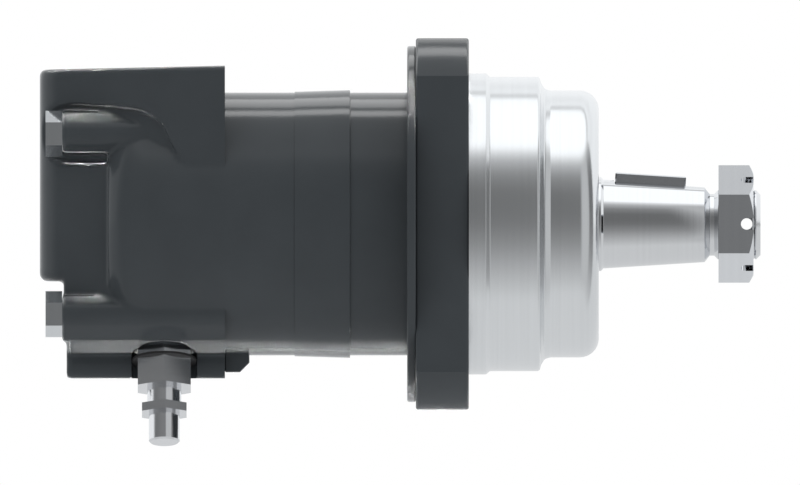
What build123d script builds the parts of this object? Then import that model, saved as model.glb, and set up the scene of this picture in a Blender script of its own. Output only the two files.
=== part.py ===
from build123d import *
from math import asin, atan, cos, degrees, pi, radians, sin, sqrt, tan
import os

os.makedirs("parts", exist_ok=True)

# Orbital hydraulic motor with a disc valve, a nose flange, a tapered shaft and a speed sensor.
# The frame has X along the shaft towards its threaded end and Z up, with the work ports on top.
# The origin is the centre of the flange's mounting face. All sizes are in millimetres.

# Stack of the motor along X, from the mounting face back to the rear
flange_thick = 19.05
shoulder_thick = 3.1
neck_length = 20.45
barrel_length = 19.9
wear_plate_thick = 3.0
geroler_width = 13.2
valve_plate_thick = 8.8
valve_housing_length = 66.4

x_flange_back = -flange_thick
x_shoulder = x_flange_back - shoulder_thick
x_seam = x_shoulder - neck_length
x_barrel = x_seam - barrel_length
x_wear = x_barrel - wear_plate_thick
x_geroler = x_wear - geroler_width
x_plate = x_geroler - valve_plate_thick
x_rear = x_plate - valve_housing_length

# Radii of the stack and the screws that hold it together
body_r = 47.13
screw_y = 24.5
screw_z = 32.35
screw_r = 4.76
screw_hole_r = 5.15
screw_thread_length = 12.0
head_height = 5.95
head_across_flats = 14.29
seat_depth = 8.0
x_seat = x_rear + seat_depth

# Roller gear set: six-lobed star inside seven rollers
roller_count = 7
lobe_count = roller_count - 1
roller_pitch_r = 26.5
roller_r = 5.0
eccentricity = 2.0
pocket_clearance = 0.05
lobe_clearance = 0.10
side_clearance = 0.02
first_roller_angle = 90.0 / roller_count

# Splines between star, drive link and shaft
tooth_count = 12
spline_minor_r = 10.4
spline_major_r = 12.2
spline_tooth_width = 2.2
spline_clearance = 0.42
valve_spline_minor_r = 7.6
valve_spline_major_r = 9.0
valve_spline_x = x_plate - 14.0
valve_spline_length = 7.0
valve_front_bore_r = 11.0
valve_rear_bore_r = 9.6
valve_tooth_width = 1.5

# Mounting flange and nose
flange_half_height = 66.6
flange_half_width = 50.8
flange_corner_r = 73.5
shoulder_r = 63.85
shoulder_round = 0.8
pilot_r = 53.98
pilot_length = 6.15
nose_r = 52.78
nose_step_x = 7.6
nose_end_x = 25.3
cap_r = 47.87
cap_start_x = 29.3
nose_face_x = 46.6
cap_edge_round = 6.8
mount_hole_r = 5.4
mount_hole_depth = 16.0
mount_hole_y = 35.7
mount_hole_z = 52.5

# Tapered roller bearings: both have the same cup, and each its own bore
bearing_width = 18.03
cup_r = 32.54
cup_start = 4.5
cup_track_r = 27.94
cup_track_place = 9.59
cup_taper_angle = 12.36
cone_width = 16.5
cone_rib_r = 24.3
cone_rib_width = 2.3
cone_track_r = 21.86
cone_track_place = 8.41
cone_track_end = 15.4
cone_lip = 0.7
cone_taper_angle = 9.64
bearing_roller_axis_r = 24.9
bearing_roller_place = 9.0
bearing_roller_tilt_angle = 11.0
bearing_roller_half = 6.0
bearing_roller_r = 3.1
bearing_roller_taper_angle = 1.36
cage_r = 25.4
cage_place = 9.0
cage_thick = 1.0
front_bore_r = 17.46
rear_bore_r = 19.05
bearing_roller_count = 16
race_gap = 0.03
cage_gap = 0.2
x_front_bearing = 16.0
x_rear_bearing = -40.0

# Output shaft
shaft_rear_x = -61.0
rear_collar_r = 24.0
front_collar_r = 22.5
stem_r = 20.0
front_journal_length = 18.4
seal_journal_r = 16.9
seal_journal_end_x = 47.4
hub_depth = 23.0
hub_spline_length = 14.0
shaft_end_x = 104.6
taper_start_x = 48.95
taper_end_x = 84.56
taper_start_r = 15.93
taper_ratio = 1 / 16
thread_r = 12.7
neck_start_x = 86.4
neck_end_x = 88.0
neck_r = 11.4
hub_bore_r = 13.6

key_width = 7.94
key_length = 25.4
key_start_x = 52.6
key_stand = 2.8
keyway_start_x = 52.2

nut_start_x = 89.55
nut_thick = 12.55
nut_across_flats = 36.5
nut_slot_width = 4.2
cotter_hole_r = 2.05
cotter_hole_x = 99.65

# Valve housing casting
block_half_width = 42.2
block_top_front = 56.8
block_top_rear = 55.4
block_bottom = -20.6
block_straight_length = 11.8
block_taper_angle = 29.0
block_bend_length = 18.3
dome_edge_x = x_rear + 24.5
dome_full_x = x_rear + 38.8
dome_round = 16.0
boss_reach = 36.0
boss_nose_r = 5.2
boss_flank_angle = 53.0
boss_inner = 6.7
boss_upper_outer = 8.15
boss_lower_outer = 9.65
trough_r = 10.8
pad_bottom = -55.4
pad_half_width = 15.4
facet_end_y = 13.2
facet_end_z = -47.1

# Disc valve chamber
chamber_r = 31.5
chamber_depth = 27.0
balance_bore_r = 27.0
balance_depth = 8.0
inner_chamber_r = 19.0
inner_chamber_depth = 3.5
disc_valve_r = 29.5
disc_valve_length = 25.4
valve_face_gap = 0.05
timing_r = 23.5
lug_root = 3.13
lug_reach = 6.07
lug_bevel = 3.4
lug_half_width = 9.0
drain_passage_r = 2.0
drain_passage_z = -41.0
seal_groove_r = 33.0
seal_groove_width = 1.6
seal_groove_depth = 1.4

# Work ports, drain port and speed sensor
port_x = x_rear + 44.4
port_y = 20.0
port_thread_r = 10.2
port_depth = 16.0
port_spot_r = 16.5
drain_x = x_rear + 28.9
drain_thread_r = 6.6
drain_depth = 13.5
sensor_x = x_rear + 44.65
sensor_tilt = 16.0
sensor_bore_r = 6.2
sensor_seat = 46.6
sensor_spot_r = 11.8
sensor_gap = 1.0
probe_r = 4.9


def save(piece, name):
    """Name a finished piece and write it as a STEP file."""
    piece.part.label = name
    export_step(piece.part, f"parts/{name}.step")


def turned(points):
    """Solid of revolution about X, from the (x, radius) corners of its section."""
    with BuildPart() as body:
        with BuildSketch(Plane.XZ):
            with BuildLine():
                Polyline(*points, close=True)
            make_face()
        revolve(axis=Axis.X)
    return body


def ring(start, end, inner, outer):
    """Plain ring about X."""
    return turned([(start, inner), (end, inner), (end, outer), (start, outer)])


def drill(start, end, radius, y=0.0, z=0.0):
    """Bore along X, cut from the part being built."""
    with BuildSketch(Plane.YZ.offset(start)) as mouth:
        with Locations((y, z)):
            Circle(radius)
    extrude(mouth.sketch, amount=end - start, mode=Mode.SUBTRACT)


def drill_screw_holes(start, end, radius):
    """The four screw holes, cut from the part being built."""
    for y in (-screw_y, screw_y):
        for z in (-screw_z, screw_z):
            drill(start, end, radius, y, z)


def cut_face_groove(start, depth):
    """Ring groove for a face seal, cut from the part being built."""
    with BuildSketch(Plane.YZ.offset(start)) as groove:
        Circle(seal_groove_r + seal_groove_width)
        Circle(seal_groove_r, mode=Mode.SUBTRACT)
    extrude(groove.sketch, amount=depth, mode=Mode.SUBTRACT)


def block_outline():
    """Half outline of the port block seen from above, from its front corner round to the rear."""
    angle = radians(block_taper_angle)
    bend_r = block_bend_length / sin(angle)
    bend_x = x_plate - block_straight_length
    bend_end_x = bend_x - block_bend_length
    bend_end_y = block_half_width - bend_r * (1 - cos(angle))
    corner_y = bend_end_y - (bend_end_x - x_seat) * tan(angle)
    corner_r = seat_depth / (1 - sin(angle))
    corner_centre = (x_seat + corner_r * sin(angle), corner_y - corner_r * cos(angle))
    Line((x_plate, 0), (x_plate, block_half_width))
    Line((x_plate, block_half_width), (bend_x, block_half_width))
    CenterArc((bend_x, block_half_width - bend_r), bend_r, 90, block_taper_angle)
    Line((bend_end_x, bend_end_y), (x_seat, corner_y))
    CenterArc(corner_centre, corner_r, 90 + block_taper_angle, 90 - block_taper_angle)
    Line((x_rear, corner_centre[1]), (x_rear, 0))


def flank_reach(half_width):
    """Distance from the motor's middle plane to a screw boss's flank at a given half width."""
    angle = radians(boss_flank_angle)
    nose_drop = boss_nose_r * (1 - cos(angle))
    return boss_reach - nose_drop - (half_width - boss_nose_r * sin(angle)) * tan(angle)


def screw_boss(z, low, high, start, end):
    """Rounded rib around a screw on the near side: low and high are its half widths."""
    root_y = -10.0
    with BuildSketch(Plane.YZ.offset(start)) as section:
        with BuildLine():
            nose = CenterArc(
                (boss_nose_r - boss_reach, z), boss_nose_r, 180 - boss_flank_angle, 2 * boss_flank_angle
            )
            Polyline(
                nose @ 1,
                (-flank_reach(low), z - low),
                (root_y, z - low),
                (root_y, z + high),
                (-flank_reach(high), z + high),
                nose @ 0,
            )
        make_face()
    extrude(section.sketch, amount=end - start)


def cut_screw_trough():
    """Clearance beside the upper screw head and boss, open to the near side."""
    trough_edge = screw_z + trough_r
    crease_z = 21.3
    crease_x = x_plate - 13.2
    with BuildSketch(Plane.XZ.offset(screw_y)) as recess:
        with BuildLine():
            edge = Line((x_rear - 1, trough_edge), (x_seat, trough_edge))
            rim = Spline(
                edge @ 1,
                (x_plate - 30.1, trough_edge - 2.2),
                (x_plate - 21.9, trough_edge - 7.6),
                (x_plate - 18.1, trough_edge - 17.2),
                (crease_x, crease_z),
                tangents=[(1, 0), (1, -0.1)],
            )
            Polyline(rim @ 1, (x_rear - 1, crease_z), edge @ 0)
        make_face()
    extrude(recess.sketch, amount=block_half_width, mode=Mode.SUBTRACT)
    drill(x_rear - 1, dome_full_x, trough_r, -screw_y, screw_z)


def sensor_plane(height):
    """Plane across the speed sensor's axis, at a height above the motor's axis, pointing outwards."""
    tilt = radians(sensor_tilt)
    outwards = (0, -sin(tilt), -cos(tilt))
    origin = (sensor_x, -height * sin(tilt), -height * cos(tilt))
    return Plane(origin=origin, x_dir=(1, 0, 0), z_dir=outwards)


def make_valve_housing():
    """Rear casting with the port block, four screw bosses, drain pad and valve chamber."""
    top_slope = (block_top_front - block_top_rear) / valve_housing_length
    top_plane = Plane(origin=(x_plate, 0, block_top_front), z_dir=(-top_slope, 0, 1))
    x_lower = x_seat + 1.6
    chamber_end = x_plate - chamber_depth
    balance_end = chamber_end - balance_depth
    dome_centre_r = body_r - dome_round
    dome_sweep = degrees(asin((dome_full_x - dome_edge_x) / dome_round))
    with BuildPart() as housing:
        with BuildSketch(Plane.XY.offset(block_bottom)):
            with BuildLine():
                block_outline()
                mirror(about=Plane.XZ)
            make_face()
        extrude(amount=block_top_front - block_bottom + 1)
        split(bisect_by=top_plane, keep=Keep.BOTTOM)
        top_edges = housing.faces().sort_by(Axis.Z)[-1].edges()
        fillet(top_edges.filter_by(lambda e: e.center().X < x_plate - 1), radius=2.2)
        bottom_edges = housing.faces().sort_by(Axis.Z)[0].edges()
        fillet(bottom_edges.filter_by(lambda e: e.center().X < x_plate - 1), radius=2.8)
        cut_screw_trough()
        split(bisect_by=Plane.XZ, keep=Keep.TOP)
        screw_boss(screw_z, boss_inner, boss_upper_outer, x_seat, x_plate - 19.6)
        screw_boss(-screw_z, boss_lower_outer, boss_inner, x_seat, x_plate)
        with BuildSketch(Plane.YZ.offset(x_lower)):
            with BuildLine():
                Polyline(
                    (0, block_bottom + 5),
                    (-19.0, block_bottom + 5),
                    (-19.0, -screw_z),
                    (-flank_reach(boss_lower_outer), -screw_z - boss_lower_outer),
                    (-facet_end_y, facet_end_z),
                    (-pad_half_width + 0.6, facet_end_z - 2.3),
                    (-pad_half_width, facet_end_z - 3.8),
                    (-pad_half_width + 0.2, pad_bottom + 2.0),
                    (-pad_half_width + 2.2, pad_bottom),
                    (0, pad_bottom),
                    close=True,
                )
            make_face()
        extrude(amount=x_plate - x_lower)
        mirror(about=Plane.XZ)
        with BuildSketch(Plane.XZ):
            with BuildLine():
                dome = CenterArc((dome_full_x, dome_centre_r), dome_round, 90, dome_sweep)
                Polyline(dome @ 1, (dome_edge_x, 0), (x_plate, 0), (x_plate, body_r), dome @ 0)
            make_face()
        revolve(axis=Axis.X)
        drill(x_plate, chamber_end, chamber_r)
        drill(chamber_end, balance_end, balance_bore_r)
        drill(balance_end, balance_end - inner_chamber_depth, inner_chamber_r)
        cut_face_groove(x_plate, -seal_groove_depth)
        drill_screw_holes(x_seat - 20, x_plate, screw_hole_r)
        for side in (-1, 1):
            cut_work_port(side)
        cut_supply_passages(balance_end)
        with BuildSketch(Plane.XY.offset(pad_bottom - 1)):
            with Locations((drain_x, 0)):
                Circle(drain_thread_r)
        extrude(amount=drain_depth + 1, mode=Mode.SUBTRACT)
        drill(x_plate, drain_x, drain_passage_r, 0, drain_passage_z)
        with BuildSketch(sensor_plane(sensor_seat)):
            Circle(sensor_spot_r)
        extrude(amount=20, mode=Mode.SUBTRACT)
        with BuildSketch(sensor_plane(chamber_r - 3)):
            Circle(sensor_bore_r)
        extrude(amount=20, mode=Mode.SUBTRACT)
    save(housing, "valve_housing")


def cut_work_port(side):
    """Threaded work port with its spot face, in the top of the port block."""
    spot_z = block_top_rear + 0.5
    with BuildSketch(Plane.XY.offset(spot_z)) as spot:
        with Locations((port_x, side * port_y)):
            Circle(port_spot_r)
    extrude(spot.sketch, amount=5, mode=Mode.SUBTRACT)
    with BuildSketch(Plane.XY.offset(spot_z)) as mouth:
        with Locations((port_x, side * port_y)):
            Circle(port_thread_r)
    extrude(mouth.sketch, amount=-port_depth, mode=Mode.SUBTRACT)


def cut_supply_passages(balance_end):
    """Oil passages from the ports: one to the outer chamber, one behind the balance ring."""
    passage_r = 4.4
    passage_y = 13.2
    top_z = block_top_rear + 0.5 - port_depth + 1
    with BuildSketch(Plane.XY.offset(top_z)) as drop:
        with Locations((port_x, -passage_y)):
            Circle(passage_r)
    extrude(drop.sketch, amount=chamber_r - 8 - top_z, mode=Mode.SUBTRACT)
    start = Vector(port_x - 7, passage_y, top_z + 2)
    end = Vector(balance_end - inner_chamber_depth / 2, passage_y / 2, inner_chamber_r - 6)
    with BuildSketch(Plane(origin=start, z_dir=end - start)) as slant:
        Circle(passage_r)
    extrude(slant.sketch, amount=(end - start).length, mode=Mode.SUBTRACT)


make_valve_housing()


def make_valve_plate():
    """Plate with one passage to each roller pocket, a cast lug below and its own face seal groove."""
    with BuildPart() as plate:
        with BuildSketch(Plane.YZ.offset(x_plate)):
            Circle(body_r)
            Circle(14.5, mode=Mode.SUBTRACT)
        extrude(amount=valve_plate_thick)
        with BuildSketch(Plane.XZ):
            with BuildLine():
                Polyline(
                    (x_plate, -body_r + lug_root),
                    (x_plate, -body_r - lug_reach),
                    (x_geroler - lug_bevel, -body_r - lug_reach),
                    (x_geroler, -body_r - lug_reach + lug_bevel),
                    (x_geroler, -body_r + lug_root),
                    close=True,
                )
            make_face()
        extrude(amount=lug_half_width, both=True)
        with BuildSketch(Plane.YZ.offset(x_plate)):
            with PolarLocations(timing_r, roller_count, start_angle=first_roller_angle + 180 / roller_count):
                Circle(2.3)
        extrude(amount=valve_plate_thick, mode=Mode.SUBTRACT)
        drill_screw_holes(x_plate, x_geroler, screw_hole_r)
        drill(x_plate, x_geroler, drain_passage_r, 0, drain_passage_z)
        cut_face_groove(x_geroler, -seal_groove_depth)
    save(plate, "valve_plate")


def make_geroler_ring():
    """Outer ring of the gear set, with a half-open pocket for every roller."""
    with BuildPart() as outer:
        with BuildSketch(Plane.YZ.offset(x_geroler)):
            Circle(body_r)
            Circle(roller_pitch_r - 0.5, mode=Mode.SUBTRACT)
            with PolarLocations(roller_pitch_r, roller_count, start_angle=first_roller_angle):
                Circle(roller_r + pocket_clearance, mode=Mode.SUBTRACT)
        extrude(amount=geroler_width)
        drill_screw_holes(x_geroler, x_wear, screw_hole_r)
        drill(x_geroler, x_wear, drain_passage_r, 0, drain_passage_z)
        cut_face_groove(x_wear, -seal_groove_depth)
    save(outer, "geroler_ring")


def make_rollers():
    """The seven rollers of the gear set, each a piece of its own."""
    for number in range(roller_count):
        angle = radians(first_roller_angle + number * 360 / roller_count)
        with BuildPart() as roller:
            with BuildSketch(Plane.YZ.offset(x_geroler + side_clearance)):
                with Locations((roller_pitch_r * cos(angle), roller_pitch_r * sin(angle))):
                    Circle(roller_r)
            extrude(amount=geroler_width - 2 * side_clearance)
        save(roller, f"geroler_roller_{number + 1}")


def star_point(turn):
    """Point of the star's outline: a trochoid set inwards by the roller's radius."""
    x = roller_pitch_r * cos(turn) - eccentricity * cos(roller_count * turn)
    y = roller_pitch_r * sin(turn) - eccentricity * sin(roller_count * turn)
    dx = -roller_pitch_r * sin(turn) + eccentricity * roller_count * sin(roller_count * turn)
    dy = roller_pitch_r * cos(turn) - eccentricity * roller_count * cos(roller_count * turn)
    length = sqrt(dx**2 + dy**2)
    inset = roller_r + lobe_clearance
    return (x - inset * dy / length, y + inset * dx / length + eccentricity)


def spline_section(minor, major, width, z=0.0):
    """Faces of a straight-sided spline section, to be drawn in the sketch that is being built."""
    with Locations((0, z)):
        Circle(minor)
    for number in range(tooth_count):
        angle = number * 360 / tooth_count
        with Locations((0, z)):
            with PolarLocations(major / 2, 1, start_angle=angle):
                Rectangle(major, width)


def make_rotor_star():
    """Star with six lobes and an internal spline, set off centre by the eccentricity."""
    points_per_lobe = 14
    count = points_per_lobe * lobe_count
    outline = [star_point(2 * pi * step / count) for step in range(count)]
    slot_width = spline_tooth_width + 2 * spline_clearance
    with BuildPart() as star:
        with BuildSketch(Plane.YZ.offset(x_geroler + side_clearance)):
            with BuildLine():
                Spline(*outline, periodic=True)
            make_face()
        extrude(amount=geroler_width - 2 * side_clearance)
        with BuildSketch(Plane.YZ.offset(x_geroler)):
            spline_section(spline_minor_r, spline_major_r, slot_width, eccentricity)
        extrude(amount=geroler_width, mode=Mode.SUBTRACT)
    save(star, "rotor_star")


def make_wear_plate():
    """Thin hardened plate between the gear set and the bearing housing."""
    with BuildPart() as plate:
        with BuildSketch(Plane.YZ.offset(x_wear)):
            Circle(body_r)
            Circle(15.0, mode=Mode.SUBTRACT)
        extrude(amount=wear_plate_thick)
        drill_screw_holes(x_wear, x_barrel, screw_hole_r)
        drill(x_wear, x_barrel, drain_passage_r, 0, drain_passage_z)
    save(plate, "wear_plate")


def make_bearing_housing():
    """Front casting: barrel, mounting flange with tapped holes, machined pilot and nose."""
    draft_r = body_r + 0.9
    shoulder_z = 34.03
    drain_start = Vector(x_barrel, 0, drain_passage_z)
    drain_end = Vector(-36.0, 0, -32.0)
    with BuildPart() as housing:
        with BuildSketch(Plane.XZ):
            with BuildLine():
                Polyline(
                    (x_barrel, 0),
                    (x_barrel, body_r + 0.3),
                    (x_seam, draft_r),
                    (x_seam, body_r),
                    (x_shoulder, body_r),
                    (x_shoulder, shoulder_r),
                    (x_flange_back, shoulder_r),
                    (x_flange_back, body_r),
                    (0, body_r),
                    (0, pilot_r),
                    (pilot_length, pilot_r),
                    (nose_step_x, nose_r),
                    (nose_end_x, nose_r),
                    (nose_end_x + 1.2, nose_r - 2.0),
                    (cap_start_x - 1.4, cap_r + 0.7),
                    (cap_start_x, cap_r),
                    (nose_face_x - cap_edge_round, cap_r),
                )
                RadiusArc(
                    (nose_face_x - cap_edge_round, cap_r),
                    (nose_face_x, cap_r - cap_edge_round),
                    cap_edge_round,
                )
                Polyline((nose_face_x, cap_r - cap_edge_round), (nose_face_x, 0), (x_barrel, 0))
            make_face()
        revolve(axis=Axis.X)
        shoulder_edges = housing.edges().filter_by(GeomType.CIRCLE).filter_by(
            lambda e: abs(e.radius - shoulder_r) < 0.01
        )
        fillet(shoulder_edges.filter_by(lambda e: e.center().X < x_flange_back - 1), radius=shoulder_round)
        with BuildSketch(Plane.YZ.offset(x_flange_back)):
            Circle(flange_corner_r)
            Rectangle(2 * flange_half_width, 2 * flange_half_height, mode=Mode.INTERSECT)
        extrude(amount=flange_thick)
        with BuildSketch(Plane.YZ):
            with GridLocations(2 * mount_hole_y, 2 * mount_hole_z, 2, 2):
                Circle(mount_hole_r)
        extrude(amount=-mount_hole_depth, mode=Mode.SUBTRACT)
        drill(x_barrel, shoulder_z, cup_r)
        drill(shoulder_z, 38.5, 21.0)
        drill(38.5, nose_face_x, 24.0)
        drill(44.5, 45.7, 25.2)
        drill_screw_holes(x_barrel, x_barrel + screw_thread_length + 1.5, screw_r)
        cut_face_groove(x_barrel, seal_groove_depth)
        with BuildSketch(Plane(origin=drain_start, z_dir=drain_end - drain_start)):
            Circle(drain_passage_r)
        extrude(amount=(drain_end - drain_start).length, mode=Mode.SUBTRACT)
    save(housing, "bearing_housing")


def make_case_bolts():
    """Four long hexagon screws through the whole stack into the bearing housing."""
    places = [(-screw_y, screw_z), (-screw_y, -screw_z), (screw_y, screw_z), (screw_y, -screw_z)]
    head_r = head_across_flats / sqrt(3)
    tip_x = x_barrel + screw_thread_length
    for number, (y, z) in enumerate(places):
        with BuildPart() as bolt:
            with BuildSketch(Plane.XZ):
                with BuildLine():
                    Polyline(
                        (x_seat, 0),
                        (x_seat, screw_r),
                        (tip_x - 1.0, screw_r),
                        (tip_x, screw_r - 1.0),
                        (tip_x, 0),
                        close=True,
                    )
                make_face()
            revolve(axis=Axis.X)
            with BuildSketch(Plane.YZ.offset(x_seat - head_height)):
                RegularPolygon(head_r, 6, rotation=30)
            extrude(amount=head_height)
        placed = Pos(0, y, z) * bolt.part
        placed.label = f"case_bolt_{number + 1}"
        export_step(placed, f"parts/case_bolt_{number + 1}.step")


def make_face_seals():
    """Square-section seals in the grooves between the plates of the stack."""
    outer = seal_groove_r + seal_groove_width
    starts = [x_plate - seal_groove_depth, x_geroler - seal_groove_depth, x_wear - seal_groove_depth, x_barrel]
    for number, start in enumerate(starts):
        save(ring(start, start + seal_groove_depth, seal_groove_r, outer), f"housing_seal_{number + 1}")


def cup_raceway(u):
    """Radius of the outer raceway at a distance from the bearing's rib face."""
    return cup_track_r + race_gap - tan(radians(cup_taper_angle)) * (u - cup_track_place)


def cone_raceway(u):
    """Radius of the inner raceway at a distance from the bearing's rib face."""
    return cone_track_r - race_gap - tan(radians(cone_taper_angle)) * (u - cone_track_place)


def bearing_roller(rib_x, side, grow):
    """One tapered roller in the middle plane, grown by a gap for the cage's window."""
    tilt = radians(bearing_roller_tilt_angle)
    half = bearing_roller_half + grow
    centre = (rib_x + side * bearing_roller_place, 0, bearing_roller_axis_r)
    axis_plane = Plane(origin=centre, x_dir=(0, 1, 0), z_dir=(side * cos(tilt), 0, -sin(tilt)))
    big = bearing_roller_r + grow + half * tan(radians(bearing_roller_taper_angle))
    small = bearing_roller_r + grow - half * tan(radians(bearing_roller_taper_angle))
    with BuildPart() as roller:
        with BuildSketch(axis_plane.offset(-half)):
            Circle(big)
        with BuildSketch(axis_plane.offset(half)):
            Circle(small)
        loft()
    return roller.part


def make_bearing(rib_x, side, bore, name):
    """Tapered roller bearing: its rib face is at rib_x and its cup's back lies away from it."""
    def at(u, r):
        return (rib_x + side * u, r)

    cup = turned([
        at(cup_start, cup_raceway(cup_start)),
        at(bearing_width, cup_raceway(bearing_width)),
        at(bearing_width, cup_r - 1.2),
        at(bearing_width - 1.2, cup_r),
        at(cup_start + 0.8, cup_r),
        at(cup_start, cup_r - 0.8),
    ])
    save(cup, f"{name}_bearing_cup")
    cone = turned([
        at(0, bore + 1.0),
        at(0, cone_rib_r),
        at(cone_rib_width, cone_rib_r),
        at(cone_rib_width, cone_raceway(cone_rib_width)),
        at(cone_track_end, cone_raceway(cone_track_end)),
        at(cone_track_end, cone_raceway(cone_track_end) + cone_lip),
        at(cone_width, cone_raceway(cone_track_end) + cone_lip),
        at(cone_width, bore),
        at(1.0, bore),
    ])
    save(cone, f"{name}_bearing_cone")
    with BuildPart() as rollers:
        roller = bearing_roller(rib_x, side, 0.0)
        for number in range(bearing_roller_count):
            add(Rot(number * 360 / bearing_roller_count, 0, 0) * roller)
    save(rollers, f"{name}_bearing_rollers")
    slope = tan(radians(bearing_roller_tilt_angle))
    cage_start = cage_place - 7.4
    cage_end = cage_place + 7.6
    inner_end_r = cage_r - 2.4 - (cage_end + 0.8 - cage_place) * slope
    with BuildPart() as cage:
        with BuildSketch(Plane.XZ):
            with BuildLine():
                Polyline(
                    at(cage_start, cage_r + 7.4 * slope),
                    at(cage_start, cage_r + cage_thick + 7.4 * slope),
                    at(cage_end, cage_r + cage_thick - 7.6 * slope),
                    at(cage_end + 0.8, cage_r + 0.8 - 8.4 * slope),
                    at(cage_end + 0.8, inner_end_r),
                    at(cage_end, inner_end_r),
                    at(cage_end, cage_r - 7.6 * slope),
                    close=True,
                )
            make_face()
        revolve(axis=Axis.X)
        window = bearing_roller(rib_x, side, cage_gap)
        for number in range(bearing_roller_count):
            add(Rot(number * 360 / bearing_roller_count, 0, 0) * window, mode=Mode.SUBTRACT)
    save(cage, f"{name}_bearing_cage")


def taper_radius(x):
    """Radius of the shaft's tapered end at a place along X."""
    return taper_start_r - taper_ratio * (x - taper_start_x)


def key_plane(x, depth):
    """Plane parallel to the top line of the taper, at a depth below the top of the key."""
    angle = atan(taper_ratio)
    top = taper_radius(x) + key_stand
    origin = Vector(x, 0, top) - Vector(sin(angle), 0, cos(angle)) * depth
    return Plane(origin=origin, x_dir=(cos(angle), 0, -sin(angle)), z_dir=(sin(angle), 0, cos(angle)))


def make_output_shaft():
    """Shaft with two bearing journals, tapered end with keyway, thread and internal spline."""
    slot_width = spline_tooth_width + 2 * spline_clearance
    spline_start_x = shaft_rear_x + hub_depth
    relief_x = spline_start_x + hub_spline_length
    with BuildPart() as shaft:
        with BuildSketch(Plane.XZ):
            with BuildLine():
                Polyline(
                    (shaft_rear_x, hub_bore_r),
                    (shaft_rear_x, rear_bore_r - 0.6),
                    (shaft_rear_x + 0.6, rear_bore_r),
                    (x_rear_bearing, rear_bore_r),
                    (x_rear_bearing, rear_collar_r),
                    (x_rear_bearing + 6.0, rear_collar_r),
                    (x_rear_bearing + 8.0, stem_r),
                    (x_front_bearing - 8.0, stem_r),
                    (x_front_bearing - 5.5, front_collar_r),
                    (x_front_bearing, front_collar_r),
                    (x_front_bearing, front_bore_r),
                    (x_front_bearing + front_journal_length, front_bore_r),
                    (x_front_bearing + front_journal_length + 0.6, seal_journal_r),
                    (seal_journal_end_x, seal_journal_r),
                    (seal_journal_end_x + 0.9, taper_start_r),
                    (taper_start_x, taper_start_r),
                    (taper_end_x, taper_radius(taper_end_x)),
                    (neck_start_x, neck_r),
                    (neck_end_x, neck_r),
                    (neck_end_x + thread_r - neck_r, thread_r),
                    (shaft_end_x - 1.5, thread_r),
                    (shaft_end_x, thread_r - 1.5),
                    (shaft_end_x, 0),
                    (relief_x + 6.5, 0),
                    (relief_x + 3.0, spline_minor_r),
                    (spline_start_x, spline_minor_r),
                    (spline_start_x, hub_bore_r),
                    close=True,
                )
            make_face()
        revolve(axis=Axis.X)
        with BuildSketch(Plane.YZ.offset(spline_start_x)):
            spline_section(spline_minor_r, spline_major_r, slot_width)
        extrude(amount=hub_spline_length, mode=Mode.SUBTRACT)
        drill(relief_x, relief_x + 3.0, spline_major_r + 0.3)
        with BuildSketch(key_plane(keyway_start_x, key_width)):
            Rectangle(shaft_end_x - keyway_start_x, key_width, align=(Align.MIN, Align.CENTER))
        extrude(amount=key_width + 2, mode=Mode.SUBTRACT)
        with BuildSketch(Plane.XZ):
            with Locations((cotter_hole_x, 0)):
                Circle(cotter_hole_r)
        extrude(amount=20, both=True, mode=Mode.SUBTRACT)
    save(shaft, "output_shaft")


def make_shaft_key():
    """Square key on the taper."""
    with BuildPart() as key:
        with BuildSketch(key_plane(key_start_x, key_width)):
            Rectangle(key_length, key_width, align=(Align.MIN, Align.CENTER))
        extrude(amount=key_width)
        chamfer(key.edges(), length=0.4)
    save(key, "shaft_key")


def make_slotted_nut():
    """Hexagon nut, chamfered outside, with a slot in each flat in line with the shaft's cross hole."""
    corner_r = nut_across_flats / sqrt(3)
    end_x = nut_start_x + nut_thick
    with BuildPart() as nut:
        with BuildSketch(Plane.XZ):
            with BuildLine():
                Polyline(
                    (nut_start_x, thread_r),
                    (nut_start_x, corner_r + 0.1),
                    (end_x - 1.6, corner_r + 0.1),
                    (end_x, corner_r - 2.6),
                    (end_x, thread_r),
                    close=True,
                )
            make_face()
        revolve(axis=Axis.X)
        with BuildSketch(Plane.YZ.offset(nut_start_x)):
            RegularPolygon(2 * corner_r, 6, rotation=30)
            RegularPolygon(corner_r, 6, rotation=30, mode=Mode.SUBTRACT)
        extrude(amount=nut_thick, mode=Mode.SUBTRACT)
        for number in range(3):
            across = Plane(origin=(0, 0, 0), x_dir=(1, 0, 0), z_dir=Vector(0, -1, 0).rotate(Axis.X, 60 * number))
            with BuildSketch(across):
                with Locations((cotter_hole_x, 0)):
                    Circle(nut_slot_width / 2)
                    Rectangle(10, nut_slot_width, align=(Align.MIN, Align.CENTER))
            extrude(amount=30, both=True, mode=Mode.SUBTRACT)
    save(nut, "slotted_nut")


def make_nose_seals():
    """Seals on the shaft inside the nose, with their washer and retaining ring, and the spacer."""
    lip_r = seal_journal_r + 0.05
    save(ring(x_barrel, x_rear_bearing - bearing_width, 27.0, cup_r), "bearing_spacer")
    save(ring(38.5, 39.8, seal_journal_r + 0.5, 24.0), "backup_washer")
    shaft_seal = turned([
        (39.8, 24.0),
        (39.8, seal_journal_r + 2.2),
        (40.6, seal_journal_r + 2.2),
        (41.6, lip_r),
        (42.2, lip_r),
        (43.2, seal_journal_r + 1.6),
        (42.6, 22.0),
        (44.5, 22.6),
        (44.5, 24.0),
    ])
    save(shaft_seal, "shaft_seal")
    save(ring(44.5, 45.7, 21.6, 25.2), "seal_retaining_ring")
    dust_seal = turned([
        (45.7, 24.0),
        (45.7, seal_journal_r + 2.0),
        (45.3, seal_journal_r + 1.0),
        (45.8, lip_r),
        (46.3, lip_r),
        (46.5, seal_journal_r + 2.0),
        (46.5, 24.0),
    ])
    save(dust_seal, "dust_seal")


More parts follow.
